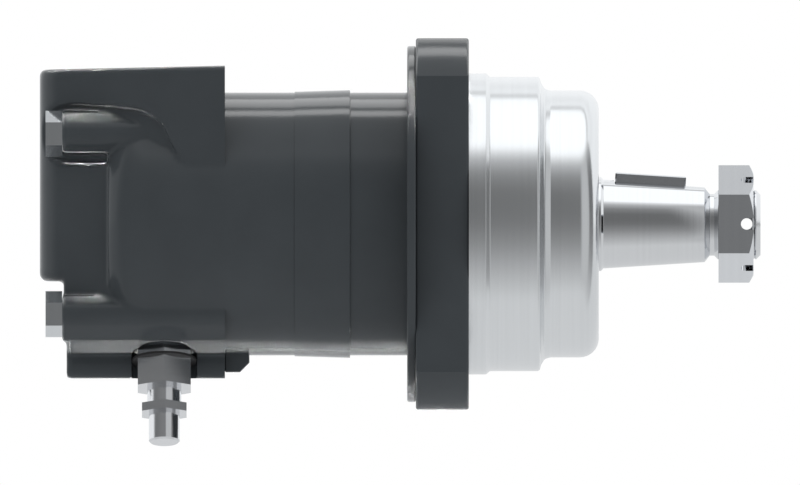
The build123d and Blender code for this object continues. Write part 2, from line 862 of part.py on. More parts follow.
def tilted_plane(start, end, x):
    """Plane across a tilted drive axis in the middle plane, where the axis passes a place along X."""
    z = start[1] + (end[1] - start[1]) * (x - start[0]) / (end[0] - start[0])
    return Plane(origin=(x, 0, z), x_dir=(0, 1, 0), z_dir=(end[0] - start[0], 0, end[1] - start[1]))


link_start = (-70.0, eccentricity)
link_end = (-31.0, 0.0)
valve_end = (-98.0, 0.0)
valve_start = (-77.5, eccentricity)


def make_drive_link():
    """Drive link between star and shaft, with an external spline at each end."""
    minor = spline_minor_r - spline_clearance
    major = spline_major_r - spline_clearance
    with BuildPart() as link:
        with BuildSketch(tilted_plane(link_start, link_end, -73.0)):
            spline_section(minor, major, spline_tooth_width)
        extrude(amount=6.8)
        with BuildSketch(tilted_plane(link_start, link_end, -36.0)):
            spline_section(minor, major, spline_tooth_width)
        extrude(amount=10.5)
        with BuildSketch(tilted_plane(link_start, link_end, -66.8)):
            Circle(8.4)
        extrude(amount=31.5)
    save(link, "drive_link")
    spacer = ring(-75.0, -73.8, 2.5, 9.4).part
    placed = Pos(0, 0, eccentricity) * spacer
    placed.label = "drive_spacer"
    export_step(placed, "parts/drive_spacer.step")


def make_valve_drive():
    """Short drive between star and disc valve."""
    with BuildPart() as drive:
        with BuildSketch(tilted_plane(valve_end, valve_start, -83.0)):
            spline_section(spline_minor_r - spline_clearance, spline_major_r - spline_clearance, spline_tooth_width)
        extrude(amount=6.8)
        with BuildSketch(tilted_plane(valve_end, valve_start, -101.0)):
            spline_section(
                valve_spline_minor_r - spline_clearance, valve_spline_major_r - spline_clearance, valve_tooth_width
            )
        extrude(amount=6.0)
        with BuildSketch(tilted_plane(valve_end, valve_start, -95.5)):
            Circle(5.6)
        extrude(amount=13.0)
    save(drive, "valve_drive")


def make_disc_valve():
    """Rotating disc valve: timing slots in front, splined bore, and a toothed rim that the sensor reads."""
    start = x_plate - valve_face_gap
    end = start - disc_valve_length
    slot_width = valve_tooth_width + 2 * spline_clearance
    with BuildPart() as valve:
        with BuildSketch(Plane.XZ):
            with BuildLine():
                Polyline(
                    (start, valve_front_bore_r),
                    (start, disc_valve_r),
                    (end, disc_valve_r),
                    (end, valve_rear_bore_r),
                    (valve_spline_x, valve_rear_bore_r),
                    (valve_spline_x, valve_spline_minor_r),
                    (valve_spline_x + valve_spline_length, valve_spline_minor_r),
                    (valve_spline_x + valve_spline_length, valve_front_bore_r),
                    close=True,
                )
            make_face()
        revolve(axis=Axis.X)
        with BuildSketch(Plane.YZ.offset(valve_spline_x)):
            spline_section(valve_spline_minor_r, valve_spline_major_r, slot_width)
        extrude(amount=valve_spline_length, mode=Mode.SUBTRACT)
        with BuildSketch(Plane.YZ.offset(start)):
            with PolarLocations(disc_valve_r - 3.0, lobe_count):
                Rectangle(12, 4.4)
        extrude(amount=-7.0, mode=Mode.SUBTRACT)
        with BuildSketch(Plane.YZ.offset(start)):
            with PolarLocations(timing_r, lobe_count, start_angle=180 / lobe_count):
                Circle(2.2)
        extrude(amount=-disc_valve_length, mode=Mode.SUBTRACT)
        with BuildSketch(Plane.YZ.offset(end)):
            with PolarLocations(disc_valve_r, 24):
                Rectangle(5.0, 3.4)
        extrude(amount=8.0, mode=Mode.SUBTRACT)
    save(valve, "disc_valve")


def make_balance_parts():
    """Ring that loads the disc valve, its seal, and the dished spring behind it."""
    front = x_plate - valve_face_gap - disc_valve_length - valve_face_gap
    shoulder = x_plate - chamber_depth - balance_depth
    rear = shoulder + 1.5
    with BuildPart() as balance:
        with BuildSketch(Plane.XZ):
            with BuildLine():
                Polyline(
                    (front, 19.5),
                    (front, 21.5),
                    (front - 1.5, 21.5),
                    (front - 1.5, 25.3),
                    (front, 25.3),
                    (front, balance_bore_r - 0.1),
                    (rear + 4.4, balance_bore_r - 0.1),
                    (rear + 4.4, 25.0),
                    (rear + 2.4, 25.0),
                    (rear + 2.4, balance_bore_r - 0.1),
                    (rear, balance_bore_r - 0.1),
                    (rear, 19.5),
                    close=True,
                )
            make_face()
        revolve(axis=Axis.X)
        with BuildSketch(Plane.YZ.offset(rear)):
            with PolarLocations(timing_r - 0.5, 8):
                Circle(1.4)
        extrude(amount=10, mode=Mode.SUBTRACT)
    save(balance, "balance_ring")
    save(ring(rear + 2.4, rear + 4.4, 25.0, balance_bore_r), "balance_ring_seal")
    spring = turned([(shoulder, 25.6), (rear - 0.5, 21.0), (rear, 21.0), (shoulder + 0.5, 26.2), (shoulder, 26.2)])
    save(spring, "balance_spring")


def make_speed_sensor():
    """Sensor in the underside of the valve housing, with its bushing, washer and gland nut."""
    tip = disc_valve_r + sensor_gap
    hex_r = 19.0 / sqrt(3)
    with BuildPart() as bushing:
        with BuildSketch(sensor_plane(tip + 4.0)):
            Circle(sensor_bore_r)
        extrude(amount=sensor_seat - tip - 4.0)
        with BuildSketch(sensor_plane(sensor_seat)):
            RegularPolygon(hex_r, 6, rotation=30)
        extrude(amount=4.0)
        with BuildSketch(sensor_plane(tip)):
            Circle(probe_r)
        extrude(amount=30, mode=Mode.SUBTRACT)
    save(bushing, "sensor_bushing")
    with BuildPart() as washer:
        with BuildSketch(sensor_plane(sensor_seat + 4.0)):
            Circle(11.55)
            Circle(probe_r, mode=Mode.SUBTRACT)
        extrude(amount=0.8)
    save(washer, "sensor_seal_washer")
    with BuildPart() as nut:
        with BuildSketch(sensor_plane(sensor_seat + 4.8)):
            RegularPolygon(hex_r, 6, rotation=30)
        extrude(amount=10.1)
        with BuildSketch(sensor_plane(sensor_seat + 4.8)) as limit:
            Circle(hex_r + 0.05)
        extrude(amount=10.1, mode=Mode.INTERSECT)
        with BuildSketch(sensor_plane(sensor_seat + 4.8)):
            Circle(probe_r)
        extrude(amount=10.1, mode=Mode.SUBTRACT)
    save(nut, "sensor_gland_nut")
    body_start = sensor_seat + 14.9
    with BuildPart() as sensor:
        with BuildSketch(sensor_plane(tip)):
            Circle(probe_r)
        extrude(amount=body_start - tip)
        with BuildSketch(sensor_plane(body_start)):
            Circle(6.15)
        extrude(amount=6.4)
        with BuildSketch(sensor_plane(body_start + 6.4)):
            RegularPolygon(16.0 / sqrt(3), 6, rotation=30)
        extrude(amount=3.1)
        with BuildSketch(sensor_plane(body_start + 9.5)):
            Circle(5.55)
        extrude(amount=10.5)
        end_face = sensor.faces().sort_by(Axis.Z)[0]
        chamfer(end_face.edges(), length=0.6)
        with BuildSketch(sensor_plane(body_start + 13.0)):
            Circle(4.2)
        extrude(amount=10, mode=Mode.SUBTRACT)
        with BuildSketch(sensor_plane(body_start + 13.0)):
            with PolarLocations(2.0, 4, start_angle=45):
                Circle(0.5)
        extrude(amount=5.0)
    save(sensor, "speed_sensor")


make_valve_plate()
make_geroler_ring()
make_rollers()
make_rotor_star()
make_wear_plate()
make_bearing_housing()
make_case_bolts()
make_face_seals()
make_bearing(x_front_bearing, 1, front_bore_r, "front")
make_bearing(x_rear_bearing, -1, rear_bore_r, "rear")
make_output_shaft()
make_shaft_key()
make_slotted_nut()
make_nose_seals()
make_drive_link()
make_valve_drive()
make_disc_valve()
make_balance_parts()
make_speed_sensor()
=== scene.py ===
from math import atan, cos, pi, radians, sin, tan

import bmesh
import bpy
import numpy as np
from mathutils import Matrix, Vector


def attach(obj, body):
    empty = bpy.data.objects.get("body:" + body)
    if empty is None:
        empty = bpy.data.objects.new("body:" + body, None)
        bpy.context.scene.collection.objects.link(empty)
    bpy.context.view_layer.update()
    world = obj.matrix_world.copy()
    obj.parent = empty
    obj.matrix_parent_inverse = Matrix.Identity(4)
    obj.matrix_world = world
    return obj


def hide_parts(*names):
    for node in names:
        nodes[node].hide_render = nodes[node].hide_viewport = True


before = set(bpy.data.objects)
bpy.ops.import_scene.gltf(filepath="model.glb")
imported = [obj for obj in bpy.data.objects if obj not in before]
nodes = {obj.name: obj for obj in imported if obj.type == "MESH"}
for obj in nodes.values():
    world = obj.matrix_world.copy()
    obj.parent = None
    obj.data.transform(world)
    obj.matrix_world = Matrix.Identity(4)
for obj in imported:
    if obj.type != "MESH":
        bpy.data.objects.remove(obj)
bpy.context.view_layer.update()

# The photograph is taken side on, level with the motor, and nothing in it narrows with distance.
# So the camera is orthographic, and its scale is the width of the whole picture.
camera_data = bpy.data.cameras.new("side_camera")
camera_data.type = "ORTHO"
camera_data.ortho_scale = 0.28696
camera = bpy.data.objects.new("side_camera", camera_data)
camera.location = (-0.0247, -2.0, -0.00665)
camera.rotation_euler = (pi / 2, 0, 0)
bpy.context.scene.collection.objects.link(camera)
bpy.context.scene.camera = camera
bpy.context.scene.view_settings.view_transform = "Standard"

# Pale floor under the hanging motor. Only the room is seen in gloss, so the floor is left out of it.
# It has an upper side alone, so the motor can be looked at from below.
floor_z, floor_reach = -0.13, 3
floor_mesh = bpy.data.meshes.new("floor")
floor_mesh.from_pydata([
    (-floor_reach, -floor_reach, floor_z), (floor_reach, -floor_reach, floor_z),
    (floor_reach, floor_reach, floor_z), (-floor_reach, floor_reach, floor_z),
], [], [(0, 1, 2, 3)])
floor_matt = bpy.data.materials.new("pale_floor")
floor_matt.use_nodes = True
floor_tree = floor_matt.node_tree
floor_shader = floor_tree.nodes["Principled BSDF"]
floor_shader.inputs["Base Color"].default_value = (0.9, 0.9, 0.9, 1)
floor_shader.inputs["Roughness"].default_value = 0.9
floor_side = floor_tree.nodes.new("ShaderNodeNewGeometry")
unseen = floor_tree.nodes.new("ShaderNodeBsdfTransparent")
one_sided = floor_tree.nodes.new("ShaderNodeMixShader")
floor_tree.links.new(floor_side.outputs["Backfacing"], one_sided.inputs[0])
floor_tree.links.new(floor_shader.outputs[0], one_sided.inputs[1])
floor_tree.links.new(unseen.outputs[0], one_sided.inputs[2])
floor_tree.links.new(one_sided.outputs[0], floor_tree.nodes["Material Output"].inputs[0])
floor_mesh.materials.append(floor_matt)
floor = bpy.data.objects.new("floor", floor_mesh)
floor.visible_glossy = False
floor.visible_shadow = False
bpy.context.scene.collection.objects.link(floor)

# The room is a tent of white cloth, open and dark in front and to the left, with a soft box over the motor.
# The tent is listed by angle from the front over the top to the back, the sides by angle round from the front.
tent = [
    (-180, 0.80), (-166, 0.76), (-62, 0.74), (-40, 0.54), (-16, 0.31), (0, 0.21), (12, 0.185), (26, 0.19),
    (40, 0.29), (52, 0.58), (59, 1.0), (62.5, 1.38), (117, 1.38), (118.5, 0.66), (123, 0.66), (124.5, 1.2),
    (136, 1.02), (150, 1.1), (180, 1.0),
]
sides = [
    (-180, 0.6), (-82, 0.55), (-74, 0.0), (9, 0.0), (15, 0.6), (58, 0.6), (63, 0.08), (128, 0.08), (134, 0.6),
    (180, 0.6),
]
brightest = 1.38


def brightness_ramp(tree, angle, stops):
    """Grey ramp over an angle in radians, from its list of degrees and brightness."""
    share = tree.nodes.new("ShaderNodeMapRange")
    share.inputs["From Min"].default_value = -pi
    share.inputs["From Max"].default_value = pi
    ramp = tree.nodes.new("ShaderNodeValToRGB")
    elements = ramp.color_ramp.elements
    while len(elements) < len(stops):
        elements.new(0.5)
    for element, (degrees, bright) in zip(elements, stops):
        element.position = (degrees + 180) / 360
        level = bright / brightest
        element.color = (level * 0.985, level, level * 1.01, 1)
    tree.links.new(angle, share.inputs["Value"])
    tree.links.new(share.outputs["Result"], ramp.inputs["Fac"])
    return ramp.outputs["Color"]


def arithmetic(tree, operation, *values):
    """Result of one operation on sockets or plain numbers."""
    node = tree.nodes.new("ShaderNodeMath")
    node.operation = operation
    for socket, value in zip(node.inputs, values):
        if isinstance(value, (int, float)):
            socket.default_value = value
        else:
            tree.links.new(value, socket)
    return node.outputs[0]


world = bpy.data.worlds.new("studio")
bpy.context.scene.world = world
world.use_nodes = True
sky = world.node_tree
sky.nodes.clear()
direction = sky.nodes.new("ShaderNodeTexCoord")
axes = sky.nodes.new("ShaderNodeSeparateXYZ")
sky.links.new(direction.outputs["Generated"], axes.inputs[0])
x, y, z = axes.outputs
# Height against the level part, which counts as negative behind, gives the angle over the motor.
# Right against front gives the angle round it, and the brighter of the two ramps is what gloss sees.
frontal = arithmetic(sky, "MULTIPLY", y, -1)
level_part = arithmetic(sky, "SQRT", arithmetic(sky, "SUBTRACT", 1, arithmetic(sky, "MULTIPLY", z, z)))
signed_part = arithmetic(sky, "MULTIPLY", level_part, arithmetic(sky, "SIGN", frontal))
over = brightness_ramp(sky, arithmetic(sky, "ARCTAN2", z, signed_part), tent)
around = brightness_ramp(sky, arithmetic(sky, "ARCTAN2", x, frontal), sides)
brighter = sky.nodes.new("ShaderNodeMixRGB")
brighter.blend_type = "LIGHTEN"
brighter.inputs[0].default_value = 1
sky.links.new(over, brighter.inputs[1])
sky.links.new(around, brighter.inputs[2])
gloss_light = sky.nodes.new("ShaderNodeBackground")
gloss_light.inputs["Strength"].default_value = brightest
# Matt surfaces get an even light instead, a little stronger from below, and the background itself is white.
bounce = sky.nodes.new("ShaderNodeMapRange")
bounce.inputs["From Min"].default_value = -0.9
bounce.inputs["From Max"].default_value = 0.0
bounce.inputs["To Min"].default_value = 1.4
bounce.inputs["To Max"].default_value = 0.95
soft_light = sky.nodes.new("ShaderNodeBackground")
soft_light.inputs["Color"].default_value = (1, 1, 1, 1)
white = sky.nodes.new("ShaderNodeBackground")
white.inputs["Color"].default_value = (1, 1, 1, 1)
path = sky.nodes.new("ShaderNodeLightPath")
gloss_mix = sky.nodes.new("ShaderNodeMixShader")
camera_mix = sky.nodes.new("ShaderNodeMixShader")
sky_out = sky.nodes.new("ShaderNodeOutputWorld")
sky.links.new(brighter.outputs[0], gloss_light.inputs["Color"])
sky.links.new(z, bounce.inputs["Value"])
sky.links.new(bounce.outputs["Result"], soft_light.inputs["Strength"])
sky.links.new(path.outputs["Is Glossy Ray"], gloss_mix.inputs[0])
sky.links.new(soft_light.outputs[0], gloss_mix.inputs[1])
sky.links.new(gloss_light.outputs[0], gloss_mix.inputs[2])
sky.links.new(path.outputs["Is Camera Ray"], camera_mix.inputs[0])
sky.links.new(gloss_mix.outputs[0], camera_mix.inputs[1])
sky.links.new(white.outputs[0], camera_mix.inputs[2])
sky.links.new(camera_mix.outputs[0], sky_out.inputs[0])

overhead = bpy.data.lights.new("overhead", "AREA")
overhead.shape = "RECTANGLE"
overhead.size, overhead.size_y = 2.4, 1.5
overhead.energy = 3
overhead_light = bpy.data.objects.new("overhead", overhead)
overhead_light.location = (0, 0.1, 1.2)
overhead_light.visible_glossy = False
bpy.context.scene.collection.objects.link(overhead_light)

# Far sheets of light shine only on the painted pieces, and only as gloss: they draw the lines along
# the upper and lower edges of the castings. One is for the rear casting alone, and one for the disc's rim.
# Each stands at an angle from the front over the top.
painted_pieces = bpy.data.collections.new("painted_pieces")
rear_casting = bpy.data.collections.new("rear_casting")
disc_rim = bpy.data.collections.new("disc_rim")


def gloss_sheet(name, low, high, strength, pieces=painted_pieces, reaches_hollows=False):
    """Far sheet of light, as long as the room, between two angles from the front over the top.

    One that reaches hollows also lights the faces that another form stands in front of, and isn't mirrored again
    from piece to piece.
    """
    far, length = 6.0, 12.0
    middle, half = radians((low + high) / 2), radians((high - low) / 2)
    data = bpy.data.lights.new(name, "AREA")
    data.shape = "RECTANGLE"
    data.size, data.size_y = length, 2 * far * tan(half)
    data.energy = strength * pi * data.size * data.size_y
    data.use_shadow = False
    data.cycles.use_multiple_importance_sampling = not reaches_hollows
    if reaches_hollows:
        data.cycles.max_bounces = 0
    sheet = bpy.data.objects.new(name, data)
    sheet.location = (0, -far * cos(middle), far * sin(middle))
    sheet.rotation_euler = (pi / 2 - middle, 0, 0)
    sheet.visible_diffuse = False
    sheet.visible_camera = False
    sheet.light_linking.receiver_collection = pieces
    bpy.context.scene.collection.objects.link(sheet)


gloss_sheet("upper_line", 110.0, 118.5, 6.0)
gloss_sheet("upper_sheet", 124.0, 142.0, 2.4)
gloss_sheet("lower_sheet", -152.0, -126.0, 1.4, reaches_hollows=True)
gloss_sheet("boss_sheet", 104.0, 136.0, 9.0, rear_casting, reaches_hollows=True)
gloss_sheet("rim_sheet", 74.0, 108.0, 15.5, disc_rim, reaches_hollows=True)


# Front casting: barrel, shoulder disc and square flange in gloss paint over cast iron.
# It is one casting; its nose beyond the flange is turned bare.
def rounded(corners, steps=5):
    """Closed outline through corners (a, b, rounding): each corner becomes an arc tangent to both sides."""
    table = np.array(corners, float)
    place, rounding = table[:, :2], table[:, 2:3]
    before = np.roll(place, 1, 0) - place
    after = np.roll(place, -1, 0) - place
    before /= np.linalg.norm(before, axis=1, keepdims=True)
    after /= np.linalg.norm(after, axis=1, keepdims=True)
    half = np.arccos(np.clip((before * after).sum(1, keepdims=True), -1, 1)) / 2
    half = np.clip(half, 0.01, pi / 2 - 0.001)
    middle = before + after
    middle /= np.maximum(np.linalg.norm(middle, axis=1, keepdims=True), 1e-6)
    centre = place + middle * rounding / np.sin(half)
    first = place + before * rounding / np.tan(half) - centre
    last = place + after * rounding / np.tan(half) - centre
    sweep = pi - 2 * half
    share = np.linspace(0, 1, steps + 1)[None, :, None]
    turn = sweep[:, None, :]
    arc = (np.sin((1 - share) * turn) * first[:, None, :] + np.sin(share * turn) * last[:, None, :]) / np.sin(turn)
    return (centre[:, None, :] + arc).reshape(-1, 2)


def surface(name, grid, around=True, along=True, sharp=32):
    """Mesh over a grid of points in millimetres; either direction can close on itself."""
    rows, columns = grid.shape[:2]
    row, column = np.meshgrid(
        np.arange(rows if around else rows - 1), np.arange(columns if along else columns - 1), indexing="ij"
    )
    next_row, next_column = (row + 1) % rows, (column + 1) % columns
    quads = np.stack([
        row * columns + column, next_row * columns + column,
        next_row * columns + next_column, row * columns + next_column,
    ], -1).reshape(-1, 4)
    mesh = bpy.data.meshes.new(name)
    mesh.from_pydata((grid.reshape(-1, 3) * 0.001).tolist(), [], quads.tolist())
    return finished(name, mesh, sharp)


def finished(name, mesh, sharp=32):
    """Close seams and poles, point the faces outwards, smooth all but the sharp edges, and make the object."""
    work = bmesh.new()
    work.from_mesh(mesh)
    bmesh.ops.remove_doubles(work, verts=work.verts, dist=2e-6)
    bmesh.ops.dissolve_degenerate(work, edges=work.edges, dist=1e-6)
    bmesh.ops.recalc_face_normals(work, faces=work.faces)
    work.to_mesh(mesh)
    work.free()
    mesh.shade_smooth()
    mesh.set_sharp_from_angle(angle=radians(sharp))
    piece = bpy.data.objects.new(name, mesh)
    bpy.context.scene.collection.objects.link(piece)
    return piece


def turned(name, outline, segments=192, sharp=32):
    """Solid of revolution: each point (x, r) of a closed outline runs round X at radius r."""
    angle = np.linspace(0, 2 * pi, segments, endpoint=False)[:, None]
    x = np.broadcast_to(outline[None, :, 0], (segments, len(outline)))
    grid = np.stack([x, outline[:, 1] * np.cos(angle), outline[:, 1] * np.sin(angle)], -1)
    return surface(name, grid, sharp=sharp)


def joined(name, pieces):
    """Several closed shells made one mesh."""
    work = bmesh.new()
    for piece in pieces:
        work.from_mesh(piece.data)
        bpy.data.objects.remove(piece)
    mesh = bpy.data.meshes.new(name)
    work.to_mesh(mesh)
    work.free()
    piece = bpy.data.objects.new(name, mesh)
    bpy.context.scene.collection.objects.link(piece)
    return piece


def cut_away(piece, cutters):
    """Take cutters, each clear of the others, out of a piece, and remove them."""
    cutter = joined("cutter", cutters)
    modifier = piece.modifiers.new("cut", "BOOLEAN")
    modifier.operation = "DIFFERENCE"
    modifier.solver = "MANIFOLD"
    modifier.object = cutter
    view = bpy.context.evaluated_depsgraph_get()
    mesh = bpy.data.meshes.new_from_object(piece.evaluated_get(view))
    piece.modifiers.clear()
    piece.data = mesh
    bpy.data.objects.remove(cutter)
    return piece


def threaded(name, before, thread, after, segments=96):
    """Solid of revolution with a helical thread from start to end between its plain columns (x, r).

    Radius: crest + (root - crest) * fade * 2 * |frac(x / pitch - turn) - 1/2|, where fade ends the thread softly.
    """
    start, end, crest, root, pitch = thread
    x = np.linspace(start, end, int(abs(end - start) / pitch * 8))
    fade = np.minimum(1, np.minimum(np.abs(x - start), np.abs(x - end)) / pitch)
    turn = np.linspace(0, 1, segments, endpoint=False)[:, None]
    wave = 2 * np.abs((x / pitch - turn) % 1 - 0.5)
    plain_before, plain_after = np.array(before, float), np.array(after, float)
    radius = np.concatenate([
        np.broadcast_to(plain_before[:, 1], (segments, len(before))), crest + (root - crest) * fade * wave,
        np.broadcast_to(plain_after[:, 1], (segments, len(after))),
    ], 1)
    along = np.broadcast_to(np.concatenate([plain_before[:, 0], x, plain_after[:, 0]]), radius.shape)
    angle = 2 * pi * turn
    return surface(name, np.stack([along, radius * np.cos(angle), radius * np.sin(angle)], -1), sharp=25)


def placed(piece, place, direction=(1, 0, 0)):
    """Carry a piece made along X to its place in millimetres, pointing in its direction."""
    aim = Vector((1, 0, 0)).rotation_difference(Vector(direction)).to_matrix().to_4x4()
    piece.data.transform(Matrix.Translation(Vector(place) * 0.001) @ aim)
    return piece


def plain_bar(start, end, radius, place, direction=(1, 0, 0)):
    """Round bar between two distances along its direction: a piece, or the cutter for a plain hole."""
    outline = np.array([(start, 0), (end, 0), (end, radius), (start, radius)], float)
    return placed(turned("hole", outline, 64), place, direction)


body_r, bore_r = 47.13, 32.54
barrel_back, collar_front = -62.5, -42.6
disc_back, flange_back, disc_r = -22.15, -19.05, 63.85
flange_half_y, flange_half_z, flange_corner_r = 50.8, 66.6, 73.5
barrel = turned("housing_barrel", rounded([
    (barrel_back, bore_r, 0), (barrel_back, body_r + 0.3, 0), (collar_front, body_r + 0.9, 0.25),
    (collar_front, body_r, 0.2), (0, body_r, 0), (0, bore_r, 0),
]))
disc_root = body_r - 1.0
disc = turned("shoulder_disc", rounded([
    (disc_back, disc_root, 0), (disc_back, disc_r, 0.8), (flange_back, disc_r, 0.6), (flange_back, disc_root, 0),
]))


def flange_edge(angle, inset=0.0):
    """Distance from the axis to the flange's edge: a rectangle of flats cut by a larger circle."""
    flat_y = (flange_half_y - inset) / np.maximum(np.abs(np.cos(angle)), 1e-6)
    flat_z = (flange_half_z - inset) / np.maximum(np.abs(np.sin(angle)), 1e-6)
    return np.minimum(np.minimum(flat_y, flat_z), flange_corner_r - inset)


def make_flange():
    """Plate whose outline runs round the axis, with its edge rounded in section; four tapped holes in front."""
    corner_start = np.arccos(flange_half_y / flange_corner_r)
    corner_end = np.arcsin(flange_half_z / flange_corner_r)
    quarter = np.concatenate([
        np.linspace(0, corner_start, 24, endpoint=False),
        np.linspace(corner_start, corner_end, 16, endpoint=False),
        np.linspace(corner_end, pi / 2, 12, endpoint=False),
    ])
    angle = np.concatenate([quarter, pi - quarter[::-1], pi + quarter, 2 * pi - quarter[::-1]])
    angle = np.unique(np.round(angle, 9))
    bend = np.linspace(0, pi / 2, 5)
    rounding = 0.9
    front = [(-rounding * (1 - np.sin(b)), rounding * (1 - np.cos(b))) for b in bend[::-1]]
    section_x = [0.0] + [x for x, _ in front] + [flange_back - x for x, _ in front[::-1]] + [flange_back]
    section_in = [None] + [i for _, i in front] + [i for _, i in front[::-1]] + [None]
    columns = []
    for x, inset in zip(section_x, section_in):
        radius = np.full(angle.shape, body_r) if inset is None else flange_edge(angle, inset)
        columns.append(np.stack([np.full(angle.shape, x), radius * np.cos(angle), radius * np.sin(angle)], -1))
    plate = surface("housing_flange", np.stack(columns, 1))
    countersink = [(1, 0), (1, 6.9), (0, 6.9), (-1, 5.9)]
    thread = (-1.0, -14.5, 6.0, 5.2, 1.5)
    drilled_end = [(-14.8, 5.1), (-16, 5.1), (-18, 0)]
    hole_y, hole_z = 35.7, 52.5
    return cut_away(plate, [
        placed(threaded("hole", countersink, thread, drilled_end), (0, y, z))
        for y in (-hole_y, hole_y) for z in (-hole_z, hole_z)
    ])


flange = make_flange()


def painted(name, colour, roughness=0.3, mirror=0.5, grain=0.0004, relief=0.03):
    """Gloss paint on a casting: even colour, fine orange peel, and slow changes of gloss."""
    material = bpy.data.materials.new(name)
    material.use_nodes = True
    tree = material.node_tree
    shader = tree.nodes["Principled BSDF"]
    place = tree.nodes.new("ShaderNodeTexCoord")
    fine = tree.nodes.new("ShaderNodeTexNoise")
    fine.inputs["Scale"].default_value = 1 / (grain * 4)
    fine.inputs["Detail"].default_value = 3
    slow = tree.nodes.new("ShaderNodeTexNoise")
    slow.inputs["Scale"].default_value = 60
    slow.inputs["Detail"].default_value = 4
    bump = tree.nodes.new("ShaderNodeBump")
    bump.inputs["Strength"].default_value = relief
    bump.inputs["Distance"].default_value = grain
    gloss = tree.nodes.new("ShaderNodeMapRange")
    gloss.inputs["To Min"].default_value = roughness * 0.85
    gloss.inputs["To Max"].default_value = roughness * 1.15
    tint = tree.nodes.new("ShaderNodeMixRGB")
    tint.inputs[1].default_value = (*[c * 0.9 for c in colour], 1)
    tint.inputs[2].default_value = (*[c * 1.1 for c in colour], 1)
    tree.links.new(place.outputs["Object"], fine.inputs["Vector"])
    tree.links.new(place.outputs["Object"], slow.inputs["Vector"])
    tree.links.new(fine.outputs["Fac"], bump.inputs["Height"])
    tree.links.new(bump.outputs["Normal"], shader.inputs["Normal"])
    tree.links.new(slow.outputs["Fac"], gloss.inputs["Value"])
    tree.links.new(gloss.outputs["Result"], shader.inputs["Roughness"])
    tree.links.new(slow.outputs["Fac"], tint.inputs[0])
    tree.links.new(tint.outputs[0], shader.inputs["Base Color"])
    shader.inputs["Specular IOR Level"].default_value = mirror
    return material


def dress(piece, material):
    """Give a piece one material in place of what it had."""
    piece.data.materials.clear()
    piece.data.materials.append(material)


cast_paint = painted("cast_paint", (0.043, 0.049, 0.054), roughness=0.14, mirror=0.16)
disc_rim.objects.link(disc)
for piece in (barrel, disc, flange):
    dress(piece, cast_paint)
    painted_pieces.objects.link(piece)
    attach(piece, "housing")
    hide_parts("bearing_housing")

# Machined nose of the same casting: pilot, seat and cap with turned steps and a large rounded front edge.
# It is bare metal with fine lathe rings.
pilot_r, nose_front, seal_bore_r = 53.98, 46.6, 24.0
nose_outline = rounded([
    (0, bore_r, 0), (0, pilot_r, 0), (6.15, pilot_r, 0.35), (7.58, 52.78, 0.5), (25.3, 52.78, 1.0),
    (25.9, 50.6, 0.6), (27.2, 48.5, 1.2), (29.3, 47.87, 0.8), (nose_front, 47.87, 6.8),
    (nose_front, seal_bore_r, 0.4), (45.7, seal_bore_r, 0), (45.7, 25.2, 0), (44.5, 25.2, 0),
    (44.5, seal_bore_r, 0), (38.5, seal_bore_r, 0), (38.5, 21.0, 0), (34.03, 21.0, 0), (34.03, bore_r, 0),
], steps=8)
nose = turned("machined_nose", nose_outline, 256)


def machined(name, colour, roughness=0.22, ring_scale=900.0, relief=0.03, axis="X"):
    """Bare turned metal: fine lathe rings across the axis, and faint clouding of its gloss."""
    material = bpy.data.materials.new(name)
    material.use_nodes = True
    tree = material.node_tree
    shader = tree.nodes["Principled BSDF"]
    shader.inputs["Metallic"].default_value = 1
    place = tree.nodes.new("ShaderNodeTexCoord")
    stretch = tree.nodes.new("ShaderNodeMapping")
    stretch.inputs["Scale"].default_value = (ring_scale, 6, 6) if axis == "X" else (6, 6, ring_scale)
    rings = tree.nodes.new("ShaderNodeTexNoise")
    rings.inputs["Scale"].default_value = 1
    rings.inputs["Detail"].default_value = 2
    cloud = tree.nodes.new("ShaderNodeTexNoise")
    cloud.inputs["Scale"].default_value = 45
    cloud.inputs["Detail"].default_value = 5
    bump = tree.nodes.new("ShaderNodeBump")
    bump.inputs["Strength"].default_value = relief
    bump.inputs["Distance"].default_value = 0.0005
    gloss = tree.nodes.new("ShaderNodeMapRange")
    gloss.inputs["To Min"].default_value = roughness * 0.8
    gloss.inputs["To Max"].default_value = roughness * 1.25
    tint = tree.nodes.new("ShaderNodeMixRGB")
    tint.inputs[1].default_value = (*[c * 0.96 for c in colour], 1)
    tint.inputs[2].default_value = (*[min(1, c * 1.04) for c in colour], 1)
    tree.links.new(place.outputs["Object"], stretch.inputs["Vector"])
    tree.links.new(stretch.outputs["Vector"], rings.inputs["Vector"])
    tree.links.new(place.outputs["Object"], cloud.inputs["Vector"])
    tree.links.new(rings.outputs["Fac"], bump.inputs["Height"])
    tree.links.new(bump.outputs["Normal"], shader.inputs["Normal"])
    tree.links.new(cloud.outputs["Fac"], gloss.inputs["Value"])
    tree.links.new(gloss.outputs["Result"], shader.inputs["Roughness"])
    tree.links.new(rings.outputs["Fac"], tint.inputs[0])
    tree.links.new(tint.outputs[0], shader.inputs["Base Color"])
    return material


bare_nose = machined("bare_nose", (0.74, 0.755, 0.77), roughness=0.17)
dress(nose, bare_nose)
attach(nose, "housing")
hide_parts("bearing_housing")

# Plates of the stack between the two castings: wear plate, gear ring and valve plate.
# They are painted with the castings after the motor is put together, so their joints hardly show.
ring_front, ring_back, x_plate = -65.5, -78.7, -87.5


